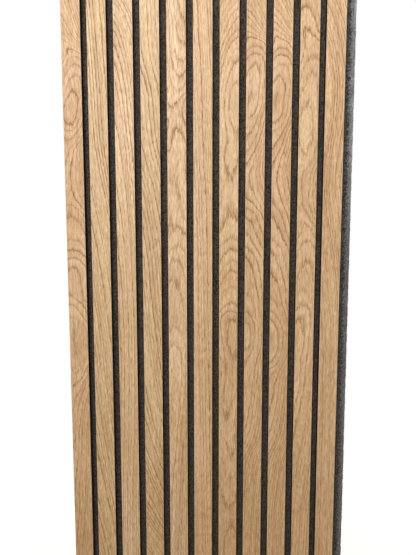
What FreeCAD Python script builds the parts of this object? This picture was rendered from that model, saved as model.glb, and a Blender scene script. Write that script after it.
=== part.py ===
"""Acoustic slat wall panel, in millimetres.

Oak-faced slats stand side by side on a board of dense felt. Each slat is a black fibreboard core with
an oak veneer glued on its face. A row of wire staples, driven from behind through the felt, holds each
core to the board. On the right the felt runs one gap past the last slat, so that the next panel carries
on the rhythm, and its cut edge falls back in a bevel.

X runs across the panel and Z up along the slats. The wall is the plane Y = 0, so the slats face -Y.
The origin is the middle of the felt's back face.
"""

import FreeCAD
import Part
import Sketcher
import math
import os

# Driving dimensions, all in millimetres apart from the two counts
SIZES = {
    "panel_length": 2440,
    "slat_count": 11,
    "slat_width": 40,
    "core_thickness": 12,
    "veneer_thickness": 0.6,
    "veneer_arris": 0.3,
    "slat_gap": 14.5,
    "outer_gap": 13,
    "felt_thickness": 9,
    "felt_bevel": 8.5,
    "felt_land": 1.5,
    "staples_per_slat": 9,
    "staple_end_margin": 70,
    "staple_crown": 12.8,
    "staple_bite": 5,
    "staple_point": 1.2,
    "wire_width": 0.95,
    "wire_thickness": 0.65,
}

# Lengths that follow from the driving dimensions, as expressions on the sheet
SLATTED_WIDTH = (
    "dims.slat_count * dims.slat_width + (dims.slat_count - 3) * dims.slat_gap + 2 * dims.outer_gap"
)
FELT_RIGHT = f"({SLATTED_WIDTH} + dims.slat_gap + dims.felt_bevel) / 2"
FELT_LEFT = f"-({SLATTED_WIDTH} + dims.slat_gap + dims.felt_bevel) / 2"
FELT_FRONT = "-dims.felt_thickness"
CORE_FRONT = f"{FELT_FRONT} - dims.core_thickness"
VENEER_FRONT = f"{CORE_FRONT} - dims.veneer_thickness"
FIRST_STAPLE = "-dims.panel_length / 2 + dims.staple_end_margin"
STAPLE_LEG = "dims.felt_thickness + dims.staple_bite"


def slat_centre(number):
    """Where the middle of a slat stands across the panel, counting the slats from 1 at the left edge."""
    outer_gaps = int(number > 1) + int(number == SIZES["slat_count"])
    inner_gaps = number - 1 - outer_gaps
    slats = f"{number - 0.5} * dims.slat_width"
    return f"{FELT_LEFT} + {slats} + {outer_gaps} * dims.outer_gap + {inner_gaps} * dims.slat_gap"


def slat_numbers():
    return range(1, SIZES["slat_count"] + 1)


# Drawing tools

def make_sheet(doc):
    sheet = doc.addObject("Spreadsheet::Sheet", "dims")
    for row, (name, value) in enumerate(SIZES.items(), start=1):
        sheet.set(f"A{row}", name)
        sheet.set(f"B{row}", str(value))
        sheet.setAlias(f"B{row}", name)
    doc.recompute()


def origin_feature(body, role):
    return next(feature for feature in body.Origin.OriginFeatures if feature.Role == role)


def new_body(doc, label, centre=None):
    """A body with its own label, moved across the panel to centre where that is given."""
    body = doc.addObject("PartDesign::Body", label)
    body.Label = label
    if centre:
        body.setExpression("Placement.Base.x", centre)
    return body


def new_sketch(body, plane, name, offset=None):
    """A sketch on one of the body's origin planes, set off along that plane's normal."""
    sketch = body.newObject("Sketcher::SketchObject", f"{body.Name}_{name}")
    sketch.AttachmentSupport = [(origin_feature(body, plane), "")]
    sketch.MapMode = "FlatFace"
    if offset:
        sketch.setExpression("AttachmentOffset.Base.z", offset)
    return sketch


def draw_outline(sketch, corners):
    """A closed outline of straight lines, with each corner a pair of expressions from the origin."""
    count = len(corners)
    first = sketch.GeometryCount
    turns = [2 * math.pi * k / count for k in range(count)]
    rough = [FreeCAD.Vector(math.cos(turn), math.sin(turn), 0) for turn in turns]
    for k in range(count):
        sketch.addGeometry(Part.LineSegment(rough[k], rough[(k + 1) % count]))
    for k, (across, along) in enumerate(corners):
        line = first + k
        following = first + (k + 1) % count
        sketch.addConstraint(Sketcher.Constraint("Coincident", line, 2, following, 1))
        place_x = sketch.addConstraint(Sketcher.Constraint("DistanceX", -1, 1, line, 1, rough[k].x))
        place_y = sketch.addConstraint(Sketcher.Constraint("DistanceY", -1, 1, line, 1, rough[k].y))
        sketch.setExpression(f"Constraints[{place_x}]", across)
        sketch.setExpression(f"Constraints[{place_y}]", along)


def draw_rectangle(sketch, left, right, low, high):
    draw_outline(sketch, [(left, low), (right, low), (right, high), (left, high)])


def add_pad(body, sketch, length):
    """Pads the sketch by length, half to each side of its plane."""
    pad = body.newObject("PartDesign::Pad", f"{body.Name}_pad")
    pad.Profile = sketch
    pad.SideType = "Symmetric"
    pad.setExpression("Length", length)
    return pad


def add_pocket(body, sketch, depth, name):
    """Cuts the sketch into the body from behind, towards -Y."""
    pocket = body.newObject("PartDesign::Pocket", f"{body.Name}_{name}")
    pocket.Profile = sketch
    pocket.Reversed = True
    pocket.setExpression("Length", depth)
    return pocket


def repeat_up_the_slat(body, features):
    """Repeats what was made for the lowest staple at each of a slat's staples."""
    pattern = body.newObject("PartDesign::LinearPattern", f"{body.Name}_rows")
    pattern.Originals = features
    pattern.Direction = (origin_feature(body, "Z_Axis"), [""])
    pattern.setExpression("Length", "dims.panel_length - 2 * dims.staple_end_margin")
    pattern.setExpression("Occurrences", "dims.staples_per_slat")
    body.Tip = pattern


def draw_leg_holes(sketch, centre):
    """The two small rectangles where a staple's legs pass, about the middle of its slat."""
    low = f"{FIRST_STAPLE} - dims.wire_width / 2"
    high = f"{FIRST_STAPLE} + dims.wire_width / 2"
    crown_left = f"{centre} - dims.staple_crown / 2"
    crown_right = f"{centre} + dims.staple_crown / 2"
    draw_rectangle(sketch, crown_left, f"{crown_left} + dims.wire_thickness", low, high)
    draw_rectangle(sketch, f"{crown_right} - dims.wire_thickness", crown_right, low, high)


# Sub-parts

def make_felt_backing(doc):
    """The felt board, with a bevelled right edge and a groove and two leg holes for every staple."""
    body = new_body(doc, "felt_backing")
    section = new_sketch(body, "XY_Plane", "section")
    bevel_top = f"{FELT_RIGHT} - dims.felt_bevel"
    draw_outline(section, [
        (FELT_LEFT, "0"),
        (FELT_LEFT, FELT_FRONT),
        (bevel_top, FELT_FRONT),
        (FELT_RIGHT, "-dims.felt_land"),
        (FELT_RIGHT, "0"),
    ])
    add_pad(body, section, "dims.panel_length")

    crowns = new_sketch(body, "XZ_Plane", "crowns")
    legs = new_sketch(body, "XZ_Plane", "legs")
    for number in slat_numbers():
        centre = slat_centre(number)
        draw_rectangle(
            crowns,
            f"{centre} - dims.staple_crown / 2",
            f"{centre} + dims.staple_crown / 2",
            f"{FIRST_STAPLE} - dims.wire_width / 2",
            f"{FIRST_STAPLE} + dims.wire_width / 2",
        )
        draw_leg_holes(legs, centre)
    grooves = add_pocket(body, crowns, "dims.wire_thickness", "grooves")
    holes = add_pocket(body, legs, "dims.felt_thickness", "holes")
    repeat_up_the_slat(body, [grooves, holes])
    return body


def make_slat_core(doc, number):
    """The black fibreboard strip of one slat, with blind holes that the staples' legs bite into."""
    body = new_body(doc, f"slat_core_{number:02d}", slat_centre(number))
    section = new_sketch(body, "XY_Plane", "section")
    draw_rectangle(section, "-dims.slat_width / 2", "dims.slat_width / 2", CORE_FRONT, FELT_FRONT)
    add_pad(body, section, "dims.panel_length")

    legs = new_sketch(body, "XZ_Plane", "legs", offset="dims.felt_thickness")
    draw_leg_holes(legs, "0")
    repeat_up_the_slat(body, [add_pocket(body, legs, "dims.staple_bite", "holes")])
    return body


def make_oak_veneer(doc, number):
    """The oak face glued on one slat, with its two long edges eased."""
    body = new_body(doc, f"oak_veneer_{number:02d}", slat_centre(number))
    section = new_sketch(body, "XY_Plane", "section")
    draw_outline(section, [
        ("-dims.slat_width / 2", CORE_FRONT),
        ("-dims.slat_width / 2", f"{VENEER_FRONT} + dims.veneer_arris"),
        ("-dims.slat_width / 2 + dims.veneer_arris", VENEER_FRONT),
        ("dims.slat_width / 2 - dims.veneer_arris", VENEER_FRONT),
        ("dims.slat_width / 2", f"{VENEER_FRONT} + dims.veneer_arris"),
        ("dims.slat_width / 2", CORE_FRONT),
    ])
    add_pad(body, section, "dims.panel_length")
    return body


def make_staple_row(doc, number):
    """One slat's staples: a flat wire bent square at the crown, with legs cut to a point on the outside."""
    body = new_body(doc, f"staple_row_{number:02d}", slat_centre(number))
    wire = new_sketch(body, "XY_Plane", "wire", offset=FIRST_STAPLE)
    outside = "dims.staple_crown / 2"
    inside = "dims.staple_crown / 2 - dims.wire_thickness"
    tip = f"-({STAPLE_LEG})"
    draw_outline(wire, [
        (f"-{outside}", "0"),
        (f"-{outside}", f"{tip} + dims.staple_point"),
        (f"-({inside})", tip),
        (f"-({inside})", "-dims.wire_thickness"),
        (inside, "-dims.wire_thickness"),
        (inside, tip),
        (outside, f"{tip} + dims.staple_point"),
        (outside, "0"),
    ])
    repeat_up_the_slat(body, [add_pad(body, wire, "dims.wire_width")])
    return body


def make_staples(doc):
    """All the staples, as one group of separate solids."""
    staples = doc.addObject("Part::Compound", "staples")
    staples.Label = "staples"
    staples.Links = [make_staple_row(doc, number) for number in slat_numbers()]
    return staples


# Check and write

def check(doc, sub_parts):
    for item in doc.Objects:
        if "Invalid" in item.State or "Error" in item.State:
            raise RuntimeError(f"{item.Label} failed: {item.State}")
    for part in sub_parts:
        if part.Shape.isNull() or not part.Shape.isValid() or not part.Shape.Solids:
            raise RuntimeError(f"{part.Label} has no valid solid")


def main():
    doc = FreeCAD.newDocument("slat_panel")
    make_sheet(doc)
    sub_parts = [make_felt_backing(doc)]
    for number in slat_numbers():
        sub_parts.append(make_slat_core(doc, number))
        sub_parts.append(make_oak_veneer(doc, number))
    sub_parts.append(make_staples(doc))
    doc.recompute()
    check(doc, sub_parts)

    os.makedirs("parts", exist_ok=True)
    for part in sub_parts:
        part.Shape.exportStep(f"parts/{part.Label}.step")
        litres = part.Shape.Volume / 1e6
        print(f"{part.Label}: {len(part.Shape.Solids)} solids, {litres:.4f} litres, {part.Shape.BoundBox}")


main()
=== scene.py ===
# %% [markdown]
# # Dressing an acoustic slat wall panel
# The panel is a row of oak-faced slats on a board of dark pressed felt. The frame holds every solid at its
# true size, so this lesson adds what the solids lack: the figure of the oak, the bloom of the felt and the
# light of a plain studio. We load the frame first and keep its box, because what we add may stand proud of
# it by a few millimetres of fibre and no more.

# %% Load the frame
import math
import bpy
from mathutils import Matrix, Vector


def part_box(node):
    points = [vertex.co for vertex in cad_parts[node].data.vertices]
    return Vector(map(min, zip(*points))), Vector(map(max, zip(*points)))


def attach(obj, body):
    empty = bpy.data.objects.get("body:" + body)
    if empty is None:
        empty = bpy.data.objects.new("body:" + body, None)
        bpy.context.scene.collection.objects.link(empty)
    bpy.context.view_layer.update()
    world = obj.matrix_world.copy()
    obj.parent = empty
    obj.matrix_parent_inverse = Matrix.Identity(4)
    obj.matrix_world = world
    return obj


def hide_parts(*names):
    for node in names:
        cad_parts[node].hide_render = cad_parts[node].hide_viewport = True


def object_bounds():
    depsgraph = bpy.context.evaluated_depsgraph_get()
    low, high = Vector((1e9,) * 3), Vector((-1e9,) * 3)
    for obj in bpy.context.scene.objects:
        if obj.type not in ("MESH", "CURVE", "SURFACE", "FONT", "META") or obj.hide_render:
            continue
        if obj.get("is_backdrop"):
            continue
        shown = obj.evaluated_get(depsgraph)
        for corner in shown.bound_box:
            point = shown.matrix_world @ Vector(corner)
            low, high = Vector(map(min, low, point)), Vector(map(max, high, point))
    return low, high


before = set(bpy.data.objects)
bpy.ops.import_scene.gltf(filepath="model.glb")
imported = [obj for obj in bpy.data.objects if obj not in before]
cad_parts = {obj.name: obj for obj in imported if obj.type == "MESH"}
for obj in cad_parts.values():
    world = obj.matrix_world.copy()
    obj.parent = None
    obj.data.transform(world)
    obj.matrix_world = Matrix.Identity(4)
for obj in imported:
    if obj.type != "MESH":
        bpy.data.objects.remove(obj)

cad_low, cad_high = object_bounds()
bpy.ops.object.select_all(action="DESELECT")
SLATS = sum(name.startswith("slat_core_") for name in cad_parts)
print("slats:", SLATS, "box:", [round(v, 4) for v in (*cad_low, *cad_high)])

# %% [markdown]
# ## The camera
# The view is that of a wide lens, held upright close to the panel and a little above its middle. It looks
# slightly down, so the slats draw together towards the floor. The long side of the picture spans the 36 mm
# of Blender's sensor, and both ends of the panel run out of the frame.

# %% Set the camera
LENS = 27.0
CAMERA_ACROSS = 0.0174
CAMERA_DISTANCE = 0.887
CAMERA_HEIGHT = 0.112
LOOK_DOWN = 5.0
TURN_LEFT = 1.17

camera_place = (CAMERA_ACROSS, cad_low.y - CAMERA_DISTANCE, CAMERA_HEIGHT)
camera_turn = (math.radians(90 - LOOK_DOWN), 0, math.radians(TURN_LEFT))
bpy.ops.object.camera_add(location=camera_place, rotation=camera_turn)
camera = bpy.context.object
camera.data.lens = LENS
bpy.context.scene.camera = camera
bpy.context.scene.view_settings.view_transform = "Standard"
print("camera", [round(v, 3) for v in camera.location], "lens", camera.data.lens)

# %% [markdown]
# ## Node helpers
# Materials in Blender are trees of nodes. A few small helpers keep the trees readable: one adds a node, two
# feed sockets with numbers or with other sockets, and the rest add what we use most. A Mix node names its
# number, vector and colour sockets alike, so its colour sockets are picked by their place in the row.

# %% Make the node helpers
MIX_FIRST = 6
MIX_SECOND = 7
MIX_RESULT = 2


def add(tree, kind, **settings):
    """Adds a node and sets its properties."""
    node = tree.nodes.new(kind)
    for name, value in settings.items():
        setattr(node, name, value)
    return node


def feed(tree, socket, value):
    """Links value to the socket, or sets it where value is a plain number or colour."""
    if isinstance(value, bpy.types.NodeSocket):
        tree.links.new(value, socket)
    else:
        socket.default_value = value


def feed_all(tree, sockets, given):
    """Feeds several sockets by their names."""
    for label, value in given.items():
        feed(tree, sockets[label], value)


def calc(tree, operation, *values):
    node = add(tree, "ShaderNodeMath", operation=operation)
    for socket, value in zip(node.inputs, values):
        feed(tree, socket, value)
    return node.outputs[0]


def times(tree, first, second):
    return calc(tree, "MULTIPLY", first, second)


def blend_colour(tree, factor, first, second, blend_type="MIX"):
    """A Mix node from the first colour to the second."""
    node = add(tree, "ShaderNodeMix", data_type="RGBA", blend_type=blend_type)
    feed(tree, node.inputs["Factor"], factor)
    feed(tree, node.inputs[MIX_FIRST], first)
    feed(tree, node.inputs[MIX_SECOND], second)
    return node.outputs[MIX_RESULT]


def remap(tree, value, low, high, to_low=0.0, to_high=1.0):
    """Maps the range low to high smoothly onto another, clamped at both ends."""
    node = add(tree, "ShaderNodeMapRange", interpolation_type="SMOOTHSTEP")
    for socket, given in zip(node.inputs, (value, low, high, to_low, to_high)):
        feed(tree, socket, given)
    return node.outputs[0]


def new_material(name):
    """A material with a Principled shader: gives the material, its tree and the shader."""
    material = bpy.data.materials.new(name)
    material.use_nodes = True
    return material, material.node_tree, material.node_tree.nodes["Principled BSDF"]


def colour(red, green, blue):
    return (red, green, blue, 1.0)


print("node helpers:", [helper.__name__ for helper in (add, feed, calc, times, blend_colour, remap)])

# %% [markdown]
# ## The backdrop
# A panel like this is shown on plain white. If the white gave light as well, it would wash out the dark
# gaps. So the world has two backgrounds: a dim warm fill that carries light, as the walls of a room do,
# and a white one that only the camera and mirrors see. The Light Path node tells their rays apart.

# %% Hang the backdrop
FILL = 0.11
FILL_COLOUR = colour(1.0, 0.6, 0.1)
WHITE = colour(1, 1, 1)


def seen_rays(tree):
    """1 for rays from the camera, a mirror or glass, and 0 for rays that carry light."""
    path = add(tree, "ShaderNodeLightPath").outputs
    seen = calc(tree, "MAXIMUM", path["Is Camera Ray"], path["Is Glossy Ray"])
    return calc(tree, "MAXIMUM", seen, path["Is Transmission Ray"])


def mix_shaders(tree, factor, first, second):
    mixer = add(tree, "ShaderNodeMixShader")
    for socket, given in zip(mixer.inputs, (factor, first, second)):
        feed(tree, socket, given)
    return mixer.outputs[0]


world = bpy.data.worlds.new("studio")
world.use_nodes = True
bpy.context.scene.world = world
tree = world.node_tree
fill = tree.nodes["Background"]
feed_all(tree, fill.inputs, {"Strength": FILL, "Color": FILL_COLOUR})
backdrop = add(tree, "ShaderNodeBackground")
backdrop.inputs["Color"].default_value = WHITE
surroundings = mix_shaders(tree, seen_rays(tree), fill.outputs[0], backdrop.outputs[0])
feed(tree, tree.nodes["World Output"].inputs["Surface"], surroundings)
print("backdrop hung, fill", FILL)

# %% [markdown]
# ## Soft boxes
# A large soft box stands in front, level with the upper part of the panel and a little to the left, so the
# panel is brightest at the top and falls off towards the floor. A weaker one behind lights the back.

# %% Place the soft boxes
BOX_SIZE = 1.2
BOX_COLOUR = (0.98, 1.015, 1.1)


def add_soft_box(name, power, place, aim):
    """A square lamp at a place, turned towards what it lights."""
    bpy.ops.object.light_add(type="AREA", location=place)
    box = bpy.context.object
    box.name = name
    box.data.energy = power
    box.data.size = BOX_SIZE
    box.data.color = BOX_COLOUR
    box.rotation_euler = (Vector(aim) - Vector(place)).to_track_quat("-Z", "Y").to_euler()
    print(name, power, "W")


add_soft_box("soft_box", power=57.2, place=(-0.4, -2.05, 1.16), aim=(-0.1, 0.0, 1.16))
add_soft_box("back_box", power=30, place=(-0.2, 2.2, 0.6), aim=(0.0, 0.0, 0.2))

# %% [markdown]
# ## The floor
# The floor is plain and pale, and the light that bounces from it warms the foot of the panel. The camera
# sees it melt into the white: a glow lies over the paint, only for seen rays, and grows with the distance
# from the panel. Close to the panel enough paint shows through to keep a soft shadow.

# %% Lay the floor
FLOOR_SIZE = 14
FLOOR_COLOUR = colour(0.74, 0.56, 0.28)
FLOOR_SPOTS = colour(0.76, 0.58, 0.31)
FLOOR_ROUGHNESS = 0.8
SPOT_SCALE = 3.0
NEAR_AND_FAR = (0.8, 1.6)
NEAR_SHARE = 0.6
NEAR_GLOW = 1.45

bpy.ops.mesh.primitive_plane_add(size=FLOOR_SIZE, location=(0, 0, cad_low.z))
floor = bpy.context.object
floor.name = "studio_floor"
floor_paint, tree, shader = new_material("floor_paint")
on_floor = add(tree, "ShaderNodeTexCoord").outputs["Object"]
spots = add(tree, "ShaderNodeTexNoise")
feed_all(tree, spots.inputs, {"Vector": on_floor, "Scale": SPOT_SCALE})
paint = blend_colour(tree, spots.outputs[0], FLOOR_COLOUR, FLOOR_SPOTS)
feed_all(tree, shader.inputs, {"Base Color": paint, "Roughness": FLOOR_ROUGHNESS})

from_panel = add(tree, "ShaderNodeVectorMath", operation="LENGTH")
feed(tree, from_panel.inputs[0], on_floor)
far = remap(tree, from_panel.outputs["Value"], *NEAR_AND_FAR)
glow = add(tree, "ShaderNodeEmission")
feed(tree, glow.inputs["Strength"], calc(tree, "MULTIPLY_ADD", far, 1 - NEAR_GLOW, NEAR_GLOW))
share = calc(tree, "MULTIPLY_ADD", far, 1 - NEAR_SHARE, NEAR_SHARE)
seen = times(tree, seen_rays(tree), share)
feed(tree, tree.nodes["Material Output"].inputs["Surface"],
     mix_shaders(tree, seen, shader.outputs[0], glow.outputs[0]))
floor.data.materials.append(floor_paint)
floor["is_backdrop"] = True
print("floor laid at", round(cad_low.z, 3))

# %% [markdown]
# ## The figure of oak
# Growth rings are shells around the pith of the tree. A veneer slices through them, and the lines we see
# are where the slice cuts each shell. Blender's Wave texture draws rings too, but they can't be steered
# along a slat, so we count them ourselves. A point lies some way across from the heart line, the pith lies
# some depth behind the face, and the two give the distance to the pith as the long side of a right
# triangle. Divided by the ring width, it counts rings. The heart line wanders and the pith rises and
# falls along the slat, so the count makes straight lines, arches and closed eyes, as in the wood.
#
# Noise that is stretched along the grain makes the count waver. A grain is given as its width across and
# its length along, in mm, and the layer of the noise that it is cut from.

# %% Count the rings
SEED_LAYERS = 7.3
SEED_RINGS = 13.7
UNEVEN_RATE = 0.31
SWAY_GRAIN = (14.0, 60.0, 0.0)
SWAY_SWING = 0.55
TEETH_GRAIN = (2.2, 22.0, 1.7)
TEETH_SWING = 2.4
FINE_DETAIL = 3.0


def new_group(name, inputs, outputs):
    """A shader group: gives its tree, its input sockets and its output sockets."""
    tree = bpy.data.node_groups.new(name, "ShaderNodeTree")
    kinds = {"Pale": "Color", "Line": "Color", "Colour": "Color", "Place": "Vector"}
    for side, labels in (("INPUT", inputs), ("OUTPUT", outputs)):
        for label in labels:
            kind = "NodeSocket" + kinds.get(label, "Float")
            tree.interface.new_socket(label, in_out=side, socket_type=kind)
    return tree, add(tree, "NodeGroupInput").outputs, add(tree, "NodeGroupOutput").inputs


def long_noise(tree, face, width, length, layer, detail=2.0, roughness=0.5):
    """Noise of one grain, from the slat's own part of the layer."""
    place = add(tree, "ShaderNodeCombineXYZ")
    feed(tree, place.inputs["X"], calc(tree, "DIVIDE", face["Across"], width))
    feed(tree, place.inputs["Y"], calc(tree, "MULTIPLY_ADD", face["Seed"], SEED_LAYERS, layer))
    feed(tree, place.inputs["Z"], calc(tree, "DIVIDE", face["Along"], length))
    noise = add(tree, "ShaderNodeTexNoise")
    settings = {"Vector": place.outputs[0], "Scale": 1.0, "Detail": detail, "Roughness": roughness}
    feed_all(tree, noise.inputs, settings)
    return noise.outputs[0]


def ring_noise(tree, face, count, rate):
    """Noise along the count of rings, so it follows the figure."""
    noise = add(tree, "ShaderNodeTexNoise", noise_dimensions="1D")
    start = times(tree, face["Seed"], SEED_RINGS)
    place = calc(tree, "MULTIPLY_ADD", count, rate, start)
    feed_all(tree, noise.inputs, {"W": place, "Scale": 1.0, "Detail": 1.0})
    return noise.outputs[0]


def centred(tree, value, swing):
    """Turns noise around 0.5 into a swing around 0."""
    return times(tree, calc(tree, "SUBTRACT", value, 0.5), swing)


oak_inputs = ("Across", "Along", "Heart", "Rise", "Depth", "Ring Width",
              "Jag", "Uneven", "Bold", "Seed", "Pale", "Line")
oak_group, face, oak_out = new_group("oak_face", oak_inputs, ("Colour", "Roughness", "Height"))
tree = oak_group

triangle = add(tree, "ShaderNodeCombineXYZ")
feed(tree, triangle.inputs["X"], face["Depth"])
feed(tree, triangle.inputs["Y"], calc(tree, "SUBTRACT", face["Across"], face["Heart"]))
reach = add(tree, "ShaderNodeVectorMath", operation="LENGTH")
feed(tree, reach.inputs[0], triangle.outputs[0])
past_depth = calc(tree, "SUBTRACT", reach.outputs["Value"], face["Depth"])
rings = calc(tree, "ADD", calc(tree, "DIVIDE", past_depth, face["Ring Width"]), face["Rise"])

uneven = centred(tree, ring_noise(tree, face, rings, UNEVEN_RATE), face["Uneven"])
sway = centred(tree, long_noise(tree, face, *SWAY_GRAIN), SWAY_SWING)
teeth = centred(tree, long_noise(tree, face, *TEETH_GRAIN, detail=FINE_DETAIL), TEETH_SWING)
waver = calc(tree, "MULTIPLY_ADD", teeth, face["Jag"], sway)
count = calc(tree, "ADD", calc(tree, "ADD", rings, uneven), waver)
print("oak group counts rings with", len(oak_group.nodes), "nodes")

# %% [markdown]
# ## Ring lines
# Each ring starts with a dark line of open early wood and pales towards the next. A colour ramp over the
# fraction of the count gives that profile. One ring is darker than the next, so noise along the count
# gives each a strength of its own, and noise along the slat lets a line fade and come back. Finer and
# fainter lines lie between the rings, and a slow band of tone joins several of them.

# %% Draw the ring lines
RING_PROFILE = (
    (0.0, 0.75), (0.04, 1.0), (0.12, 0.55), (0.28, 0.16), (0.6, 0.02), (0.93, 0.05), (1.0, 0.75),
)
FAINTEST = 0.29
FAINTER_IF_UNEVEN = -0.14
STRENGTH_RATE = 0.77
STRENGTH_NOISE = (0.33, 0.62)
FADING_GRAIN = (12.0, 60.0, 3.1)
FADING_NOISE = (0.3, 0.52)
FADED = 0.6
FADES_DOWN = (-220.0, 200.0)
FADED_BELOW = 0.8
FINE_RINGS = 2.37
FINE_GRAIN = (5.0, 60.0, 6.7)
FINE_SWING = 1.6
FINE_RATE = 0.61
FINE_NOISE = (0.4, 0.7)
FINE_STRENGTH = 0.28
BAND_RATE = 0.45
BAND_NOISE = (0.35, 0.7)


def ring_lines(tree, count):
    """The darkness of the ring line at each place between one ring and the next."""
    profile = add(tree, "ShaderNodeValToRGB")
    feed(tree, profile.inputs[0], calc(tree, "FRACT", count))
    ramp = profile.color_ramp
    while len(ramp.elements) < len(RING_PROFILE):
        ramp.elements.new(0.5)
    for element, (place, level) in zip(ramp.elements, RING_PROFILE):
        element.position = place
        element.color = colour(level, level, level)
    return profile.outputs[0]


def ring_strength(tree, face, count, rate, noise_span, weakest, strongest):
    """One strength for the whole of each ring."""
    own = ring_noise(tree, face, calc(tree, "FLOOR", count), rate)
    return remap(tree, own, *noise_span, weakest, strongest)


faintest = calc(tree, "MULTIPLY_ADD", face["Uneven"], FAINTER_IF_UNEVEN, FAINTEST)
strength = ring_strength(tree, face, count, STRENGTH_RATE, STRENGTH_NOISE, faintest, 1.0)
fading = remap(tree, long_noise(tree, face, *FADING_GRAIN), *FADING_NOISE, FADED, 1.0)
lower = remap(tree, face["Along"], *FADES_DOWN, FADED_BELOW, 1.0)
fading = times(tree, fading, lower)
line = times(tree, times(tree, ring_lines(tree, count), strength), fading)

fine_waver = centred(tree, long_noise(tree, face, *FINE_GRAIN), FINE_SWING)
fine_count = calc(tree, "MULTIPLY_ADD", count, FINE_RINGS, fine_waver)
fine_strength = ring_strength(tree, face, fine_count, FINE_RATE, FINE_NOISE, 0.0, FINE_STRENGTH)
fine_line = times(tree, ring_lines(tree, fine_count), fine_strength)
line = calc(tree, "MAXIMUM", line, fine_line)
band = remap(tree, ring_noise(tree, face, count, BAND_RATE), *BAND_NOISE)
print("with lines:", len(oak_group.nodes), "nodes")

# %% [markdown]
# ## Fibres and pores
# Close up, oak is a bundle of fibres. Three layers of noise give it that: short fibres, long streaks and a
# slow drift of tone. Pores are cut vessels of the wood, short dark dashes that crowd in the early wood, so
# their noise is cut hard and made stronger on the lines.

# %% Add fibres and pores
WOOD_GRAIN = (1.8, 16.0, 4.3)
WOOD_ROUGHNESS = 0.6
WOOD_SWING = 0.92
STREAK_GRAIN = (4.2, 130.0, 5.9)
STREAK_SWING = 0.34
DRIFT_GRAIN = (34.0, 240.0, 8.3)
DRIFT_SWING = 0.24
PORE_GRAIN = (1.0, 13.0, 10.1)
PORE_NOISE = (0.54, 0.64)
PORES_ON_LINES = 0.7
PORES_BETWEEN = 0.34

fibre = long_noise(tree, face, *WOOD_GRAIN, detail=FINE_DETAIL, roughness=WOOD_ROUGHNESS)
streak = long_noise(tree, face, *STREAK_GRAIN)
drift = long_noise(tree, face, *DRIFT_GRAIN, detail=0.0)
level = calc(tree, "ADD", centred(tree, fibre, WOOD_SWING), centred(tree, streak, STREAK_SWING))
level = calc(tree, "ADD", calc(tree, "ADD", level, centred(tree, drift, DRIFT_SWING)), 1.0)
pore_field = remap(tree, long_noise(tree, face, *PORE_GRAIN, detail=1.0), *PORE_NOISE)
crowding = calc(tree, "MULTIPLY_ADD", line, PORES_ON_LINES, PORES_BETWEEN)
pores = times(tree, pore_field, crowding)
print("with fibres and pores:", len(oak_group.nodes), "nodes")

# %% [markdown]
# ## The colour of the face
# Now the layers become a colour. Lines, bands and pores darken the pale wood. The fibres change its tone,
# and blue more than red, because dark wood is also browner wood. Along its two eased edges the veneer is
# painted paler, partly as sanded wood and partly as a painted highlight, and here and there the very edge is
# darkened, partly as the black of the core staining it and partly as painted shade at the gap. Pores are
# rough and hollow, so the group puts out a roughness and a height as well.

# %% Colour the oak face
PORE_COLOUR = colour(0.26, 0.115, 0.035)
SANDED_HIGHLIGHT_COLOUR = colour(0.9, 0.68, 0.44)
STAIN_AND_SHADE_COLOUR = colour(0.05, 0.033, 0.022)
BAND_SHARE = 0.18
TONE_POWERS = (1.0, 1.4, 2.0)
SANDED_HIGHLIGHT_FROM = (18.7, 19.7)
SANDED_HIGHLIGHT_GRAIN = (30.0, 20.0, 12.9)
SANDED_HIGHLIGHT_NOISE = (0.35, 0.6)
SANDED_HIGHLIGHT_SHARE = (0.25, 0.6)
STAIN_AND_SHADE_FROM = (19.6, 19.75)
STAIN_AND_SHADE_GRAIN = (30.0, 4.0, 14.3)
STAIN_AND_SHADE_NOISE = (0.68, 0.62)
OILED_ROUGHNESS = 0.46
FIBRES_ROUGHEN = 0.16
PORES_ROUGHEN = 0.2
PORES_SINK = -1.0
LINES_SINK = -0.35
FIBRES_RISE = 0.5

base = blend_colour(tree, times(tree, line, face["Bold"]), face["Pale"], face["Line"])
base = blend_colour(tree, times(tree, band, BAND_SHARE), base, face["Line"])
base = blend_colour(tree, pores, base, PORE_COLOUR)
shade = add(tree, "ShaderNodeCombineColor")
for socket, power in zip(shade.inputs, TONE_POWERS):
    feed(tree, socket, calc(tree, "POWER", level, power))
base = blend_colour(tree, 1.0, base, shade.outputs[0], "MULTIPLY")

from_middle = calc(tree, "ABSOLUTE", face["Across"])
# Paler band along both eased edges: partly sanded wood, partly a painted highlight on the edge.
sanded_highlight_band = remap(tree, from_middle, *SANDED_HIGHLIGHT_FROM)
sanded_highlight_spread = remap(tree, long_noise(tree, face, *SANDED_HIGHLIGHT_GRAIN), *SANDED_HIGHLIGHT_NOISE, *SANDED_HIGHLIGHT_SHARE)
base = blend_colour(tree, times(tree, sanded_highlight_band, sanded_highlight_spread), base, SANDED_HIGHLIGHT_COLOUR)
# The very edge darkened: partly the black core staining it, partly painted shade at the edge of the gap.
stain_and_shade_band = remap(tree, from_middle, *STAIN_AND_SHADE_FROM)
stain_and_shade_spread = remap(tree, long_noise(tree, face, *STAIN_AND_SHADE_GRAIN), *STAIN_AND_SHADE_NOISE)
base = blend_colour(tree, times(tree, stain_and_shade_band, stain_and_shade_spread), base, STAIN_AND_SHADE_COLOUR)
feed(tree, oak_out["Colour"], base)

dry = calc(tree, "MULTIPLY_ADD", fibre, FIBRES_ROUGHEN, OILED_ROUGHNESS)
feed(tree, oak_out["Roughness"], calc(tree, "MULTIPLY_ADD", pores, PORES_ROUGHEN, dry))
sunk = calc(tree, "MULTIPLY_ADD", pores, PORES_SINK, times(tree, line, LINES_SINK))
feed(tree, oak_out["Height"], calc(tree, "MULTIPLY_ADD", fibre, FIBRES_RISE, sunk))
print("oak group done:", len(oak_group.nodes), "nodes")

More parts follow.
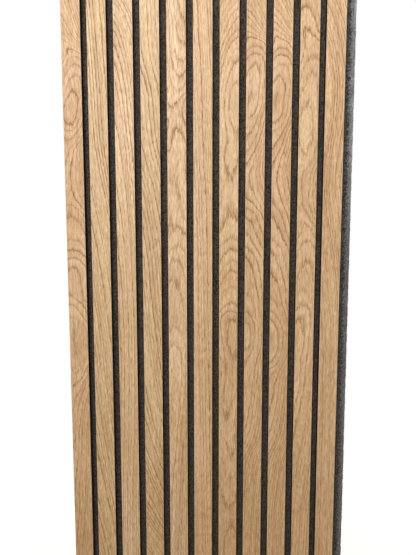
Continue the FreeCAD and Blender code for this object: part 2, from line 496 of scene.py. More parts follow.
# %% [markdown]
# ## Eleven figures
# Each slat was cut from another part of the log, so each has its own figure. We steer it with three curves
# along the slat, as points of height and value: the depth of the pith behind the face (mm), where the heart
# line runs (mm from the slat's middle), and how many rings the pith has risen. A heart line far outside
# the slat gives straight grain. Where the rise has a valley, the rings close into an eye; above the valley
# they arch upwards, and below it they hang. A deep pith makes the arches broad. Heights are in mm above
# the middle of the panel.
#
# Each figure also has a tone, a ring width in mm, how jagged and how uneven its lines are, how bold they
# are, and the number of its first ring, which decides which of its rings are the dark ones.

# %% List the figures
OAK_TONES = {
    "straw": (colour(0.765, 0.54, 0.292), colour(0.3, 0.145, 0.04)),
    "cream": (colour(0.785, 0.555, 0.318), colour(0.35, 0.17, 0.055)),
    "honey": (colour(0.76, 0.52, 0.284), colour(0.32, 0.14, 0.042)),
    "tan": (colour(0.735, 0.495, 0.268), colour(0.31, 0.13, 0.038)),
}
FIGURES = [
    dict(tone="tan", ring_width=3.0, jag=0.24, uneven=0.4, bold=1.05, first_ring=6,
         depth=((-1220, 56), (-330, 56), (-150, 80), (-20, 120), (60, 150), (160, 140), (300, 60), (345, 56),
           (1220, 56)),
         heart=((-1220, -52), (-610, -40), (-430, -30), (-330, -30), (-207, -18), (-170, -9), (-105, -5),
           (-20, -18), (50, -10), (110, -8), (163, -10), (230, -26), (295, -24), (326, -10), (358, -8),
           (385, -5), (455, 6), (489, 7), (503, -2), (519, -18), (545, -30), (670, -36), (1220, -30)),
         rise=((-1220, 6), (-610, 3), (-430, 2.5), (-330, 1.5), (-250, 0.6), (-207, 0), (-177, -1),
           (-105, -2.05), (-53, -1), (-24, 0), (-8, 1), (50, 2), (72, 3), (91, 4), (118, 5), (163, 6),
           (230, 7.5), (290, 6.8), (326, 6), (342, 5), (358, 4), (385, 3.5), (415, 4), (455, 5), (473, 6),
           (489, 7), (503, 8), (523, 9), (545, 10), (566, 11), (596, 12.2), (670, 15), (1220, 25))),
    dict(tone="straw", ring_width=5.7, jag=0.26, uneven=1.3, bold=1.45, first_ring=0,
         depth=((-1220, 25), (1220, 25)),
         heart=((-1220, -60), (-610, -58), (670, -54), (1220, -50)),
         rise=((-1220, -36), (-600, -15), (-450, -10.2), (-270, -5.3), (-120, -2.6), (34, 0.5), (120, 2.6),
           (200, 5), (320, 8.2), (450, 9.3), (596, 10.9), (670, 11.6), (1220, 16))),
    dict(tone="cream", ring_width=4.8, jag=0.26, uneven=1.2, bold=1.35, first_ring=0,
         depth=((-1220, 25), (1220, 25)),
         heart=((-1220, -60), (-610, -58), (-300, -48), (0, -34), (300, -28), (596, -26), (1220, -20)),
         rise=((-1220, -9), (-610, -6.4), (-400, -6), (-250, -5.6), (-100, -4.5), (50, -3), (200, -0.9),
           (330, 1.4), (440, 3.5), (500, 5.3), (550, 7.5), (596, 10.9), (670, 18), (1220, 45))),
    dict(tone="straw", ring_width=7.2, jag=0.26, uneven=1.5, bold=1.6, first_ring=0,
         depth=((-1220, 25), (1220, 25)),
         heart=((-1220, -62), (-610, -60), (670, -58), (1220, -54)),
         rise=((-1220, -50), (-610, -24), (-500, -15.5), (-400, -10), (-280, -5.2), (-60, -0.8), (100, 1.2),
           (200, 3.4), (330, 7.3), (420, 8.4), (500, 10.7), (596, 11.4), (670, 12), (1220, 16))),
    dict(tone="cream", ring_width=3.2, jag=0.32, uneven=0.3, bold=1.15, first_ring=9,
         depth=((-1220, 58), (-200, 58), (-60, 90), (20, 120), (110, 140), (160, 200), (250, 200), (300, 75),
           (345, 58), (1220, 58)),
         heart=((-1220, -36), (-610, -32), (-385, -28), (-233, -16), (-113, -8), (-72, -7), (22, -12),
           (65, -4), (112, 0), (145, -8), (180, -18), (262, -18), (295, -2), (315, 2), (362, 0), (390, -8),
           (420, 2), (449, 6), (519, 15), (596, 21), (1220, 10)),
         rise=((-1220, 2), (-610, -2), (-420, -2.6), (-320, -3.1), (-233, -3), (-150, -2.6), (-113, -2),
           (-72, -1), (22, 0), (65, 1), (100, 2), (145, 3), (200, 3.6), (262, 4), (305, 4.5), (345, 5),
           (366, 5.4), (390, 5), (420, 4), (449, 3), (519, 1), (596, -0.6), (670, -2), (1220, -8))),
    dict(tone="honey", ring_width=4.8, jag=0.3, uneven=1.6, bold=1.25, first_ring=0,
         depth=((-1220, 20), (1220, 20)),
         heart=((-1220, -74), (-610, -70), (670, -70), (1220, -66)),
         rise=((-1220, -6), (-610, -3), (-100, -1.4), (150, -0.6), (300, 0.8), (450, 1.8), (670, 4),
           (1220, 8))),
    dict(tone="honey", ring_width=3.0, jag=0.32, uneven=0.3, bold=1.05, first_ring=6,
         depth=((-1220, 75), (-300, 75), (-40, 100), (20, 140), (110, 140), (200, 90), (300, 75),
           (1220, 75)),
         heart=((-1220, -14), (-610, 8), (-545, 10), (-480, 4), (-424, 4), (-357, 10), (-275, -4),
           (-150, 14), (-92, 12), (-60, 8), (-23, 6), (17, 12), (46, 14), (91, 8), (117, 6), (170, 4),
           (254, 3.5), (300, 8), (334, 17), (390, 18), (437, 18), (500, 22), (596, 24), (670, 26),
           (1220, 40)),
         rise=((-1220, 14), (-700, 4.4), (-570, 3.5), (-505, 4.3), (-480, 4), (-424, 3), (-357, 2),
           (-250, 0.9), (-150, 0.3), (-92, -0.3), (-60, 0), (-40, 1), (-23, 2), (17, 3), (46, 4), (68, 5),
           (91, 6), (117, 7), (170, 8), (210, 8.3), (254, 8), (319, 7.2), (334, 7), (390, 6.35), (437, 7),
           (478, 8), (505, 9), (524, 10), (540, 11), (566, 12), (580, 13), (596, 14), (670, 18),
           (1220, 40))),
    dict(tone="tan", ring_width=3.2, jag=0.24, uneven=0.3, bold=1.1, first_ring=6,
         depth=((-1220, 58), (-160, 58), (-20, 90), (60, 125), (180, 125), (260, 70), (330, 58), (1220, 58)),
         heart=((-1220, -62), (-610, -60), (-400, -50), (-300, -30), (-147, -22), (-95, -20), (97, -24),
           (238, -28), (300, -22), (333, -18), (400, -14), (457, -5), (508, -2), (523, -10), (535, -20),
           (560, -26), (670, -30), (1220, -40)),
         rise=((-1220, 4), (-610, 1.2), (-400, 0.6), (-360, 0), (-320, -1), (-240, -2), (-147, -3),
           (-95, -4.3), (-40, -3), (6, -2), (72, -1), (97, 0), (128, 1), (165, 2), (183, 3), (205, 4),
           (238, 4.6), (269, 4), (299, 3), (333, 2), (366, 1), (400, 0.1), (474, 1), (493, 2), (508, 3),
           (523, 4), (535, 5), (552, 6), (567, 7), (596, 9), (670, 12), (1220, 30))),
    dict(tone="tan", ring_width=3.2, jag=0.24, uneven=0.3, bold=1.1, first_ring=6,
         depth=((-1220, 58), (-160, 58), (-20, 90), (60, 125), (180, 125), (260, 70), (330, 58), (1220, 58)),
         heart=((-1220, -62), (-610, -60), (-400, -50), (-300, -30), (-150, -22), (-103, -20), (91, -24),
           (238, -28), (300, -22), (345, -18), (400, -14), (446, -6), (504, -2), (520, -10), (535, -20),
           (560, -26), (670, -30), (1220, -42)),
         rise=((-1220, 6), (-610, 3), (-400, 2.2), (-355, 1.6), (-313, 0.6), (-240, -0.4), (-185, -1),
           (-165, -2), (-150, -3), (-103, -3.9), (-60, -3), (-40, -2), (-16, -1), (40, 0), (91, 1), (120, 2),
           (165, 3), (197, 4), (238, 4.5), (264, 4), (307, 3), (339, 2), (356, 1), (400, 0.2), (446, 1),
           (473, 2), (490, 3), (504, 4), (523, 5), (540, 6), (555, 7), (596, 9.6), (670, 13), (1220, 30))),
    dict(tone="honey", ring_width=3.2, jag=0.32, uneven=0.3, bold=1.05, first_ring=15,
         depth=((-1220, 74), (1220, 74)),
         heart=((-1220, -20), (-610, -46), (-370, -36), (-280, -30), (-150, -24), (-55, -10), (-25, -4),
           (8, -2), (66, 2), (110, 2), (140, -2), (225, -22), (302, -6), (343, -6), (383, -4), (449, 7),
           (485, 8), (535, -6), (580, -8), (670, -6), (1220, 0)),
         rise=((-1220, 2), (-610, -2.3), (-450, -2.9), (-370, -3.7), (-280, -4.7), (-150, -5.8), (-55, -5),
           (-25, -4), (8, -3), (66, -2), (110, -1), (140, 0), (225, 0.8), (302, 0), (343, -0.35), (383, 0),
           (449, 1), (485, 2), (535, 3), (580, 4), (670, 6), (1220, 14))),
    dict(tone="tan", ring_width=5.2, jag=0.3, uneven=1.3, bold=1.4, first_ring=0,
         depth=((-1220, 25), (1220, 25)),
         heart=((-1220, -66), (-610, -62), (400, -52), (670, -42), (1220, -40)),
         rise=((-1220, -8), (-610, -6.4), (-300, -6), (-100, -5.1), (-20, -3.9), (70, -2.2), (180, 1.4),
           (240, 2.6), (300, 1.8), (360, 0.4), (400, 0), (430, 0.2), (480, 1.7), (530, 4.2), (596, 8.9),
           (670, 14.5), (1220, 42))),
]
print("figures:", len(FIGURES), "tones:", sorted(OAK_TONES))

# %% [markdown]
# ## The veneers
# Every veneer gets a material of its own with the oak group in it. A Mapping node turns Object coordinates
# into millimetres from the slat's middle line, so that the group is steered in a maker's sizes. A Float
# Curve node holds each of the three curves. A Bump node makes the pores and lines a little hollow.

# %% Give the veneers their oak
METRES_TO_MM = 1000
OAK_RELIEF = 0.00008
OAK_SHINE = 0.3


def place_in_mm(tree, middle=0.0):
    """The point on the object in mm, counted across from a middle line."""
    place = add(tree, "ShaderNodeMapping")
    place.inputs["Location"].default_value = (-middle * METRES_TO_MM, 0, 0)
    place.inputs["Scale"].default_value = (METRES_TO_MM,) * 3
    feed(tree, place.inputs["Vector"], add(tree, "ShaderNodeTexCoord").outputs["Object"])
    return place.outputs[0]


def split(tree, place):
    parts = add(tree, "ShaderNodeSeparateXYZ")
    feed(tree, parts.inputs[0], place)
    return parts.outputs


def add_relief(tree, shader, height, distance):
    relief = add(tree, "ShaderNodeBump")
    feed_all(tree, relief.inputs, {"Height": height, "Distance": distance})
    feed(tree, shader.inputs["Normal"], relief.outputs[0])


def height_curve(tree, along, points):
    """A curve node that gives a value for each height on the panel."""
    heights, values = zip(*points)
    low = min(values)
    span = max(values) - low or 1.0
    bottom = heights[0]
    length = heights[-1] - bottom
    curve = add(tree, "ShaderNodeFloatCurve")
    share = calc(tree, "DIVIDE", calc(tree, "SUBTRACT", along, bottom), length)
    feed(tree, curve.inputs["Value"], share)
    knots = curve.mapping.curves[0].points
    for _ in points[2:]:
        knots.new(0.5, 0.5)
    for knot, (height, value) in zip(knots, points):
        knot.location = ((height - bottom) / length, (value - low) / span)
        knot.handle_type = "AUTO_CLAMPED"
    curve.mapping.update()
    return calc(tree, "MULTIPLY_ADD", curve.outputs[0], span, low)


def oak_material(number, figure):
    low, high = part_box(f"oak_veneer_{number:02d}")
    material, tree, shader = new_material(f"oak_{number:02d}_{figure['tone']}")
    place = split(tree, place_in_mm(tree, (low.x + high.x) / 2))
    along = place["Z"]
    pale, dark = OAK_TONES[figure["tone"]]
    rise = height_curve(tree, along, figure["rise"])
    face = add(tree, "ShaderNodeGroup", node_tree=oak_group)
    feed_all(tree, face.inputs, {
        "Across": place["X"], "Along": along, "Heart": height_curve(tree, along, figure["heart"]),
        "Rise": calc(tree, "ADD", rise, figure["first_ring"]),
        "Depth": height_curve(tree, along, figure["depth"]), "Ring Width": figure["ring_width"],
        "Jag": figure["jag"], "Uneven": figure["uneven"], "Bold": figure["bold"],
        "Seed": number, "Pale": pale, "Line": dark,
    })
    feed_all(tree, shader.inputs, {"Base Color": face.outputs["Colour"], "Specular IOR Level": OAK_SHINE,
                                   "Roughness": face.outputs["Roughness"]})
    add_relief(tree, shader, face.outputs["Height"], OAK_RELIEF)
    return material


def dress(node, material):
    """Gives a solid of the frame one material all over."""
    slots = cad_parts[node].data.materials
    slots.clear()
    slots.append(material)


for number, figure in enumerate(FIGURES, start=1):
    dress(f"oak_veneer_{number:02d}", oak_material(number, figure))
print("veneers dressed:", number)

# %% [markdown]
# ## Pressed fibre
# Felt and fibreboard are both made of pressed fibres. The felt is shredded polyester, dyed in several
# greys and needled into a mat, so up close it is a jumble of dark and pale hairs with soft clumps. One
# group makes the clumps, the hairs and a height for both of them. The hairs are fine noise, read at places
# that another, slower noise pushes about, so they curl every way.

# %% Make the pressed fibre group
CLUMP_DETAIL = 3.0
CLUMP_ROUGHNESS = 0.6
CLUMP_NOISE = (0.35, 0.65)
CLUMP_HEIGHT = 0.6
CURL_SIZE = 4.0
CURL_PUSH = (9.0, 9.0, 9.0)
HAIR_DETAIL = 3.0
HAIR_ROUGHNESS = 0.65
HAIR_NOISE = (0.3, 0.7)
HAIR_HEIGHT = 0.4


def soft_noise(tree, place, size, detail=2.0, roughness=0.5):
    """Round noise with grains of size, in mm, at a place in mm: gives its value and its colour."""
    noise = add(tree, "ShaderNodeTexNoise")
    scale = calc(tree, "DIVIDE", 1.0, size)
    feed_all(tree, noise.inputs, {"Vector": place, "Scale": scale, "Detail": detail, "Roughness": roughness})
    return noise.outputs[0], noise.outputs[1]


fibre_inputs = ("Place", "Clump", "Hair")
fibre_group, mat, fibre_out = new_group("pressed_fibre", fibre_inputs, ("Clumps", "Hairs", "Height"))
tree = fibre_group
clumps, _ = soft_noise(tree, mat["Place"], mat["Clump"], CLUMP_DETAIL, CLUMP_ROUGHNESS)
_, curl = soft_noise(tree, mat["Place"], times(tree, mat["Hair"], CURL_SIZE))
curled = add(tree, "ShaderNodeVectorMath", operation="MULTIPLY_ADD")
for socket, given in zip(curled.inputs, (curl, CURL_PUSH, mat["Place"])):
    feed(tree, socket, given)
hairs, _ = soft_noise(tree, curled.outputs[0], mat["Hair"], HAIR_DETAIL, HAIR_ROUGHNESS)
feed(tree, fibre_out["Clumps"], remap(tree, clumps, *CLUMP_NOISE))
feed(tree, fibre_out["Hairs"], remap(tree, hairs, *HAIR_NOISE))
hair_height = times(tree, hairs, HAIR_HEIGHT)
feed(tree, fibre_out["Height"], calc(tree, "MULTIPLY_ADD", clumps, CLUMP_HEIGHT, hair_height))
print("pressed fibre group:", len(fibre_group.nodes), "nodes")

# %% [markdown]
# ## Fibreboard and staples
# The cores are black fibreboard, dyed through and sawn, and hardly any light comes back from their sides.
# The staples are bright zinc wire with duller spots. Both are right in shape already, so they only get
# materials, and both take their unevenness from the pressed fibre group.

# %% Give the cores and staples their finish
BOARD_DARK = colour(0.012, 0.010, 0.008)
BOARD_PALE = colour(0.035, 0.029, 0.024)
BOARD_GRAIN = (9.0, 0.7)
BOARD_HAIR_SHARE = 0.5
BOARD_SURFACE = {"Roughness": 0.85, "Specular IOR Level": 0.2}
BOARD_RELIEF = 0.0001
ZINC_DULL = colour(0.42, 0.42, 0.43)
ZINC_BRIGHT = colour(0.68, 0.68, 0.66)
ZINC_GRAIN = (2.0, 0.3)
ZINC_ROUGHNESS = 0.28
ZINC_ROUGHER = 0.2


def add_fibre(tree, place, clump, hair):
    mat = add(tree, "ShaderNodeGroup", node_tree=fibre_group)
    feed_all(tree, mat.inputs, {"Place": place, "Clump": clump, "Hair": hair})
    return mat.outputs


def fibre_tone(tree, mat, hair_share):
    """A tone from 0 to 1 that is part hairs and part clumps."""
    hairs = times(tree, mat["Hairs"], hair_share)
    return calc(tree, "MULTIPLY_ADD", mat["Clumps"], 1 - hair_share, hairs)


fibreboard, tree, shader = new_material("black_fibreboard")
mat = add_fibre(tree, place_in_mm(tree), *BOARD_GRAIN)
tone = fibre_tone(tree, mat, BOARD_HAIR_SHARE)
feed(tree, shader.inputs["Base Color"], blend_colour(tree, tone, BOARD_DARK, BOARD_PALE))
feed_all(tree, shader.inputs, BOARD_SURFACE)
add_relief(tree, shader, mat["Height"], BOARD_RELIEF)

zinc, tree, shader = new_material("zinc_wire")
mat = add_fibre(tree, place_in_mm(tree), *ZINC_GRAIN)
spotted = blend_colour(tree, mat["Clumps"], ZINC_DULL, ZINC_BRIGHT)
dulled = calc(tree, "MULTIPLY_ADD", mat["Hairs"], ZINC_ROUGHER, ZINC_ROUGHNESS)
feed_all(tree, shader.inputs, {"Base Color": spotted, "Roughness": dulled, "Metallic": 1.0})

for number in range(1, SLATS + 1):
    dress(f"slat_core_{number:02d}", fibreboard)
dress("staples", zinc)
print("cores dressed:", SLATS, "and the staples")

# %% [markdown]
# ## The felt board
# The solid of the felt is a sharp board, and felt has no sharp faces. We model the board again as a maker
# would cut it: a block of the same size, one slanted cut for the edge, and then enough cuts across and
# along it to let the open surface swell. The cuts across follow the slats, because the felt is only open
# between them. The cuts along leave a short band at each staple, where the wire pulls the felt in.

# %% Cut the felt board
BEVEL = 0.0085
LAND = 0.0015
STAPLES = 9
STAPLE_END = 0.070
DIMPLE_HALF_HEIGHT = 0.003
DIMPLE_HALF_WIDTH = 0.0085
GAP_CUTS = 4
NEAR = 1e-5

felt_low, felt_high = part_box("felt_backing")
slats = [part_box(f"slat_core_{number:02d}") for number in range(1, SLATS + 1)]
staple_middles = [(low.x + high.x) / 2 for low, high in slats]
staple_step = (felt_high.z - felt_low.z - 2 * STAPLE_END) / (STAPLES - 1)
staple_heights = [felt_low.z + STAPLE_END + k * staple_step for k in range(STAPLES)]

bpy.ops.mesh.primitive_cube_add(size=1, location=(felt_low + felt_high) / 2, scale=felt_high - felt_low)
felt = bpy.context.object
felt.name = "felt_board"
bpy.ops.object.transform_apply()


def go_to(mode):
    bpy.ops.object.mode_set(mode=mode)


def pick(piece, kind, test):
    """Selects the vertices, edges or faces of a piece that pass the test, and opens it for editing."""
    go_to("EDIT")
    bpy.ops.mesh.select_mode(type={"vertices": "VERT", "edges": "EDGE", "polygons": "FACE"}[kind])
    bpy.ops.mesh.select_all(action="DESELECT")
    go_to("OBJECT")
    for item in getattr(piece.data, kind):
        item.select = test(item)
    go_to("EDIT")


def cut(place, across):
    """Cuts the whole open piece on the plane through place that across points away from."""
    bpy.ops.mesh.select_all(action="SELECT")
    bpy.ops.mesh.bisect(plane_co=place, plane_no=across)


def between(first, last, count):
    """Count evenly spaced places between two others."""
    return [first + (last - first) * k / (count + 1) for k in range(1, count + 1)]


go_to("EDIT")
cut((0, felt_high.y - LAND, 0), (0, 1, 0))
pick(felt, "vertices", lambda v: v.co.x > felt_high.x - NEAR and v.co.y < felt_low.y + NEAR)
bpy.ops.transform.translate(value=(-BEVEL, 0, 0))

columns = []
for (low, high), middle in zip(slats, staple_middles):
    columns += [low.x, middle - DIMPLE_HALF_WIDTH, middle + DIMPLE_HALF_WIDTH, high.x]
for (_, left), (right, _) in zip(slats, slats[1:]):
    columns += between(left.x, right.x, GAP_CUTS)
bevel_top = felt_high.x - BEVEL
columns += between(slats[-1][1].x, bevel_top, GAP_CUTS) + [bevel_top]
columns += between(bevel_top, felt_high.x, GAP_CUTS)
for x in sorted(columns):
    if felt_low.x + NEAR < x < felt_high.x - NEAR:
        cut((x, 0, 0), (1, 0, 0))
for height in staple_heights:
    cut((0, 0, height - DIMPLE_HALF_HEIGHT), (0, 0, 1))
    cut((0, 0, height + DIMPLE_HALF_HEIGHT), (0, 0, 1))
go_to("OBJECT")
print("felt board:", len(felt.data.polygons), "faces,", len(columns), "columns")

# %% [markdown]
# Subdivide cuts the long stretches between the staples into equal lengths. At each staple one face of the
# back is inset and sunk, and that is the dimple.

# %% Divide the board and press the dimples
LONG_CUTS = 35
END_CUTS = 8
DIMPLE_EDGE = 0.0012
DIMPLE_DEPTH = 0.0008


def rise_of(edge):
    ends = [felt.data.vertices[v].co.z for v in edge.vertices]
    return max(ends) - min(ends)


def at_staple(face):
    middle = face.center
    beside = min(abs(middle.x - x) for x in staple_middles)
    above = min(abs(middle.z - z) for z in staple_heights)
    return middle.y > felt_high.y - NEAR and beside < NEAR and above < NEAR


pick(felt, "edges", lambda edge: rise_of(edge) > 2 * STAPLE_END)
bpy.ops.mesh.subdivide(number_cuts=LONG_CUTS)
pick(felt, "edges", lambda edge: rise_of(edge) > STAPLE_END / 2)
bpy.ops.mesh.subdivide(number_cuts=END_CUTS)
pick(felt, "polygons", at_staple)
bpy.ops.mesh.inset(thickness=DIMPLE_EDGE, depth=-DIMPLE_DEPTH, use_individual=True)
go_to("OBJECT")
print("divided:", len(felt.data.polygons), "faces")

# %% [markdown]
# Now the open felt may swell. A Displace modifier pushes the points of a vertex group inwards, by a lumpy
# Clouds texture and then by a finer one, so the face never rises past its size. The points under the
# slats stay where they are, because there the wood presses the felt flat. The cut edge at the right is
# loose, so a third modifier draws its points out by a millimetre or two and leaves it ragged.

# %% Let the open felt swell
LUMPS = {"felt_lumps": (0.011, 0.0006), "felt_tufts": (0.004, 0.0004)}
RAG_SIZE = 0.009
RAG_LENGTH = 0.0024
RAG_START = -0.5
SMOOTH_ANGLE = math.radians(50)


def open_felt(point):
    """True for points that no slat or wall covers."""
    if point.y > felt_high.y - NEAR:
        return False
    if point.y > felt_low.y + NEAR:
        return point.x > slats[-1][1].x
    return not any(low.x + NEAR < point.x < high.x - NEAR for low, high in slats)


def displace(name, size, points, strength, mid_level, direction):
    """Moves points of the felt by a Clouds texture, through a vertex group of the same name."""
    felt.vertex_groups.new(name=name).add(points, 1.0, "REPLACE")
    clouds = bpy.data.textures.new(name, "CLOUDS")
    clouds.noise_scale = size
    swell = felt.modifiers.new(name, "DISPLACE")
    swell.texture = clouds
    swell.vertex_group = name
    swell.direction = direction
    swell.mid_level = mid_level
    swell.strength = strength
    bpy.ops.object.modifier_apply(modifier=name)
    print(name, "moved", len(points), "points")


open_points = [vertex.index for vertex in felt.data.vertices if open_felt(vertex.co)]
for name, (size, depth) in LUMPS.items():
    displace(name, size, open_points, -depth, 0.0, "NORMAL")
edge_points = [vertex.index for vertex in felt.data.vertices if vertex.co.x > felt_high.x - LAND]
displace("felt_rags", RAG_SIZE, edge_points, RAG_LENGTH, RAG_START, "X")
bpy.ops.object.shade_smooth_by_angle(angle=SMOOTH_ANGLE)
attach(felt, "root")
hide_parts("felt_backing")

# %% [markdown]
# ## The look of felt
# The felt is a warm charcoal with clumps and hairs in it, and a more neutral one on the lip past the last
# slat. Both are one felt: the warm tint is painted shade for the felt between the slats, and the neutral
# grey is painted light on the open lip. Where it was cut, at the slanted edge and at the two ends, the hairs
# stand open and look paler and greyer, and on the slanted edge that pale bloom is partly painted light
# caught by the fuzzy edge. A smooth mask across the lip brings that in. Clumps shift the mask and broad
# patches thin it, so the pale bloom lies in tufts, and less of it lies lower on the panel.

# %% Give the felt its finish
FELT_DARK = colour(0.004, 0.003, 0.002)
FELT_PALE_SHADED_WARM = colour(0.1, 0.075, 0.053)
LIP_PALE_LIT = colour(0.104, 0.095, 0.087)
BLOOM_AND_LIGHT_DARK = colour(0.165, 0.166, 0.158)
BLOOM_AND_LIGHT_PALE = colour(0.7, 0.725, 0.72)
FELT_GRAIN = (3.6, 0.9)
FELT_HAIR_SHARE = 0.55
FELT_TONES = (0.08, 0.92)
LIT_LIP = (279.0, 283.0)
BLOOM_LIGHT_ACROSS = (288.5, 304.0)
BLOOM_LIGHT_SHIFT = 3.5
BLOOM_HEIGHTS = (40.0, 320.0)
BLOOM_HEIGHT_SHARES = (0.56, 1.05)
PATCH_SIZE = 13.0
PATCH_NOISE = (0.3, 0.65)
PATCH_THINS = (0.6, 1.12)
END_HEIGHTS = (1218.0, 1219.5)
END_BLOOM = 0.5
FELT_SURFACE = {"Roughness": 0.95, "Specular IOR Level": 0.1, "Sheen Weight": 0.15, "Sheen Roughness": 0.6}
FELT_RELIEF = 0.0006

felt_finish, tree, shader = new_material("felt")
place = place_in_mm(tree)
mat = add_fibre(tree, place, *FELT_GRAIN)
parts = split(tree, place)
tone = remap(tree, fibre_tone(tree, mat, FELT_HAIR_SHARE), *FELT_TONES)
# Painted shade and light: the same felt in a warm shaded tint, and in a neutral lit tint on the lip.
felt_pale_shaded_and_lit = blend_colour(tree, remap(tree, parts["X"], *LIT_LIP), FELT_PALE_SHADED_WARM, LIP_PALE_LIT)
plain = blend_colour(tree, tone, FELT_DARK, felt_pale_shaded_and_lit)
# The pale bloom: partly paler open hairs, partly painted light caught by the fuzzy cut edge.
bloom_and_edge_light = blend_colour(tree, tone, BLOOM_AND_LIGHT_DARK, BLOOM_AND_LIGHT_PALE)

ragged = calc(tree, "ADD", parts["X"], centred(tree, mat["Clumps"], BLOOM_LIGHT_SHIFT))
# Less bloom lower on the panel, so the edge is darker there.
bloom_light_by_height = remap(tree, parts["Z"], *BLOOM_HEIGHTS, *BLOOM_HEIGHT_SHARES)
patch_noise, _ = soft_noise(tree, place, PATCH_SIZE)
patches = remap(tree, patch_noise, *PATCH_NOISE, *PATCH_THINS)
edge = remap(tree, ragged, *BLOOM_LIGHT_ACROSS)
edge = times(tree, edge, times(tree, bloom_light_by_height, patches))
ends = remap(tree, calc(tree, "ABSOLUTE", parts["Z"]), *END_HEIGHTS)
mask = calc(tree, "MAXIMUM", edge, times(tree, ends, END_BLOOM))
feed(tree, shader.inputs["Base Color"], blend_colour(tree, mask, plain, bloom_and_edge_light))
feed_all(tree, shader.inputs, FELT_SURFACE)
add_relief(tree, shader, mat["Height"], FELT_RELIEF)
felt.data.materials.append(felt_finish)
print("felt finish:", len(tree.nodes), "nodes")

# %% [markdown]
# ## Loose fibres
# Felt is never quite closed: fibres stand off its surface, most of all at the cut edge. Blender's hair is
# curves and not a mesh, so we model one short bent fibre with three sides and set copies of it. Its colour
# comes from an attribute, because each copy has a shade of its own.

# %% Model one fibre
FIBRE_LENGTH = 0.0034
FIBRE_ROOT = 0.00019
FIBRE_TIP = 0.00009
FIBRE_PALE = colour(0.62, 0.64, 0.63)
FIBRE_DARK = colour(0.07, 0.064, 0.058)
FIBRE_SURFACE = {"Roughness": 0.9, "Specular IOR Level": 0.1}
BELOW_MIDDLE = 0.4 * FIBRE_LENGTH
MIDDLE_BEND = (0.08 * FIBRE_LENGTH, 0, 0)
BELOW_TIP = 0.9 * FIBRE_LENGTH
TIP_BEND = (0.22 * FIBRE_LENGTH, 0, -0.08 * FIBRE_LENGTH)

fibre_finish, tree, shader = new_material("felt_fibre")
shade = add(tree, "ShaderNodeAttribute", attribute_name="shade")
feed(tree, shader.inputs["Base Color"], blend_colour(tree, shade.outputs["Fac"], FIBRE_DARK, FIBRE_PALE))
feed_all(tree, shader.inputs, FIBRE_SURFACE)

bpy.ops.mesh.primitive_cone_add(vertices=3, radius1=FIBRE_ROOT, radius2=FIBRE_TIP, depth=FIBRE_LENGTH,
                                location=(0, 0, FIBRE_LENGTH / 2))
one_fibre = bpy.context.object
one_fibre.name = "one_fibre"
bpy.ops.object.transform_apply()
go_to("EDIT")
cut((0, 0, FIBRE_LENGTH / 2), (0, 0, 1))
pick(one_fibre, "vertices", lambda v: v.co.z > BELOW_MIDDLE)
bpy.ops.transform.translate(value=MIDDLE_BEND)
pick(one_fibre, "vertices", lambda v: v.co.z > BELOW_TIP)
bpy.ops.transform.translate(value=TIP_BEND)
go_to("OBJECT")
one_fibre.data.materials.append(fibre_finish)
print("one fibre:", len(one_fibre.data.polygons), "faces")

# %% [markdown]
# A geometry node tree sets the copies. It spreads points over faces, puts a fibre on each, leans and turns
# it, gives it a length and stores its shade. Fixed seeds place them, so they lie the same each time, and
# noise gathers them in tufts. Lower on the panel the fibres are made darker, as the bloom is.

# %% Make the scatter trees
LENGTHS = (0.45, 1.0)
SIDE_LEAN = 0.3
TUFT_SIZE = 0.006
TUFT_NOISE = (0.35, 0.65)
TUFT_DENSITY = (0.2, 1.8)
SHADE_HEIGHTS = (0.04, 0.32)
SHADE_LEVELS = (0.55, 1.0)


def random_value(tree, kind, low, high, seed):
    node = add(tree, "FunctionNodeRandomValue", data_type=kind)
    sockets = [socket for socket in node.inputs if socket.enabled]
    for socket, given in zip(sockets, (low, high)):
        feed(tree, socket, given)
    node.inputs["Seed"].default_value = seed
    return next(socket for socket in node.outputs if socket.enabled)


def set_points(tree, faces, density, seed):
    tufts = add(tree, "ShaderNodeTexNoise")
    tufts.inputs["Scale"].default_value = 1 / TUFT_SIZE
    sparse, thick = (share * density for share in TUFT_DENSITY)
    tufted = remap(tree, tufts.outputs[0], *TUFT_NOISE, sparse, thick)
    points = add(tree, "GeometryNodeDistributePointsOnFaces")
    feed_all(tree, points.inputs, {"Mesh": faces, "Density": tufted, "Seed": seed})
    return points.outputs


def set_copies(tree, points, tilt, seed):
    least = (tilt[0], -SIDE_LEAN, 0)
    most = (tilt[1], SIDE_LEAN, math.tau)
    lean = random_value(tree, "FLOAT_VECTOR", least, most, seed + 1)
    turn = add(tree, "FunctionNodeRotateRotation", rotation_space="LOCAL")
    feed_all(tree, turn.inputs, {"Rotation": points["Rotation"], "Rotate By": lean})
    source = add(tree, "GeometryNodeObjectInfo")
    source.inputs["Object"].default_value = one_fibre
    copies = add(tree, "GeometryNodeInstanceOnPoints")
    size = random_value(tree, "FLOAT", *LENGTHS, seed + 2)
    feed_all(tree, copies.inputs, {"Points": points["Points"], "Instance": source.outputs["Geometry"],
                                   "Rotation": turn.outputs[0], "Scale": size})
    return copies.outputs[0]


def shade_copies(tree, copies, shades, seed):
    position = add(tree, "GeometryNodeInputPosition").outputs[0]
    paler = remap(tree, split(tree, position)["Z"], *SHADE_HEIGHTS, *SHADE_LEVELS)
    shade = times(tree, random_value(tree, "FLOAT", *shades, seed + 3), paler)
    store = add(tree, "GeometryNodeStoreNamedAttribute", data_type="FLOAT", domain="INSTANCE")
    feed_all(tree, store.inputs, {"Geometry": copies, "Name": "shade", "Value": shade})
    return store.outputs[0]


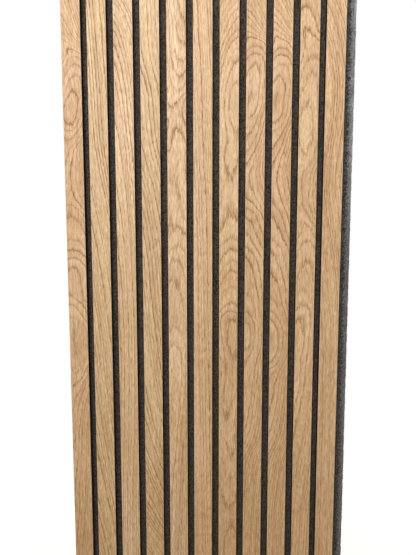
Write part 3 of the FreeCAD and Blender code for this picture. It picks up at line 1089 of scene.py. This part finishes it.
def scatter_tree(name, density, tilt, shades, seed):
    """A geometry node tree that turns the faces of a piece into fibres."""
    tree = bpy.data.node_groups.new(name, "GeometryNodeTree")
    for side in ("INPUT", "OUTPUT"):
        tree.interface.new_socket("Geometry", in_out=side, socket_type="NodeSocketGeometry")
    points = set_points(tree, add(tree, "NodeGroupInput").outputs[0], density, seed)
    copies = shade_copies(tree, set_copies(tree, points, tilt, seed), shades, seed)
    joined = add(tree, "GeometryNodeRealizeInstances")
    feed(tree, joined.inputs[0], copies)
    feed(tree, add(tree, "NodeGroupOutput").inputs[0], joined.outputs[0])
    print(name, "scatter tree:", len(tree.nodes), "nodes")
    return tree


edge_tree = scatter_tree("edge_fibres", density=800000, tilt=(0.05, 0.42), shades=(0.35, 1.0), seed=17)
gap_tree = scatter_tree("gap_fibres", density=24000, tilt=(0.7, 1.4), shades=(0.0, 0.6), seed=23)

# %% [markdown]
# The fibres grow on copies of the felt's own faces, so they start at its surface. They stand thickly along
# the cut edge, and in the gaps they are few, dark and almost flat. None grow near the two ends or on the
# narrow strip next to the wall, where they would reach past the board or into the wall.

# %% Set the fibres on the felt
EDGE_STRIP = 0.0036
SLANTED = 0.2
FACING_FRONT = -0.6


def choose(piece):
    """Selects this piece alone and makes it the active one."""
    bpy.ops.object.select_all(action="DESELECT")
    piece.select_set(True)
    bpy.context.view_layer.objects.active = piece


def grow_fibres(tree, test):
    """Copies the felt's faces that pass the test and lets the tree turn the copy into fibres."""
    choose(felt)
    pick(felt, "polygons", test)
    bpy.ops.mesh.duplicate()
    bpy.ops.mesh.separate(type="SELECTED")
    go_to("OBJECT")
    piece = next(item for item in bpy.context.selected_objects if item is not felt)
    choose(piece)
    piece.name = tree.name
    growth = piece.modifiers.new("fibres", "NODES")
    growth.node_group = tree
    bpy.ops.object.modifier_apply(modifier="fibres")
    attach(piece, "root")
    print(piece.name, "triangles:", sum(len(face.vertices) - 2 for face in piece.data.polygons))


def clear_of_ends(face):
    return abs(face.center.z) < felt_high.z - 2 * FIBRE_LENGTH


def on_edge(face):
    slanted = face.normal.x > SLANTED and face.center.y < felt_high.y - LAND
    return slanted and face.center.x > felt_high.x - EDGE_STRIP and clear_of_ends(face)


def on_open_front(face):
    covered = any(low.x < face.center.x < high.x for low, high in slats)
    at_edge = face.center.x > felt_high.x - EDGE_STRIP
    return face.normal.y < FACING_FRONT and not covered and not at_edge and clear_of_ends(face)


grow_fibres(edge_tree, on_edge)
grow_fibres(gap_tree, on_open_front)
choose(one_fibre)
bpy.ops.object.delete()

# %% [markdown]
# ## Close the scene
# Last we measure again and print the dressed panel's box, to set beside the frame's box printed at the
# start, so that anyone can see how little the fibres add.

# %% Close the scene
low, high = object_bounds()
print("dressed box:", [round(v, 4) for v in (*low, *high)])
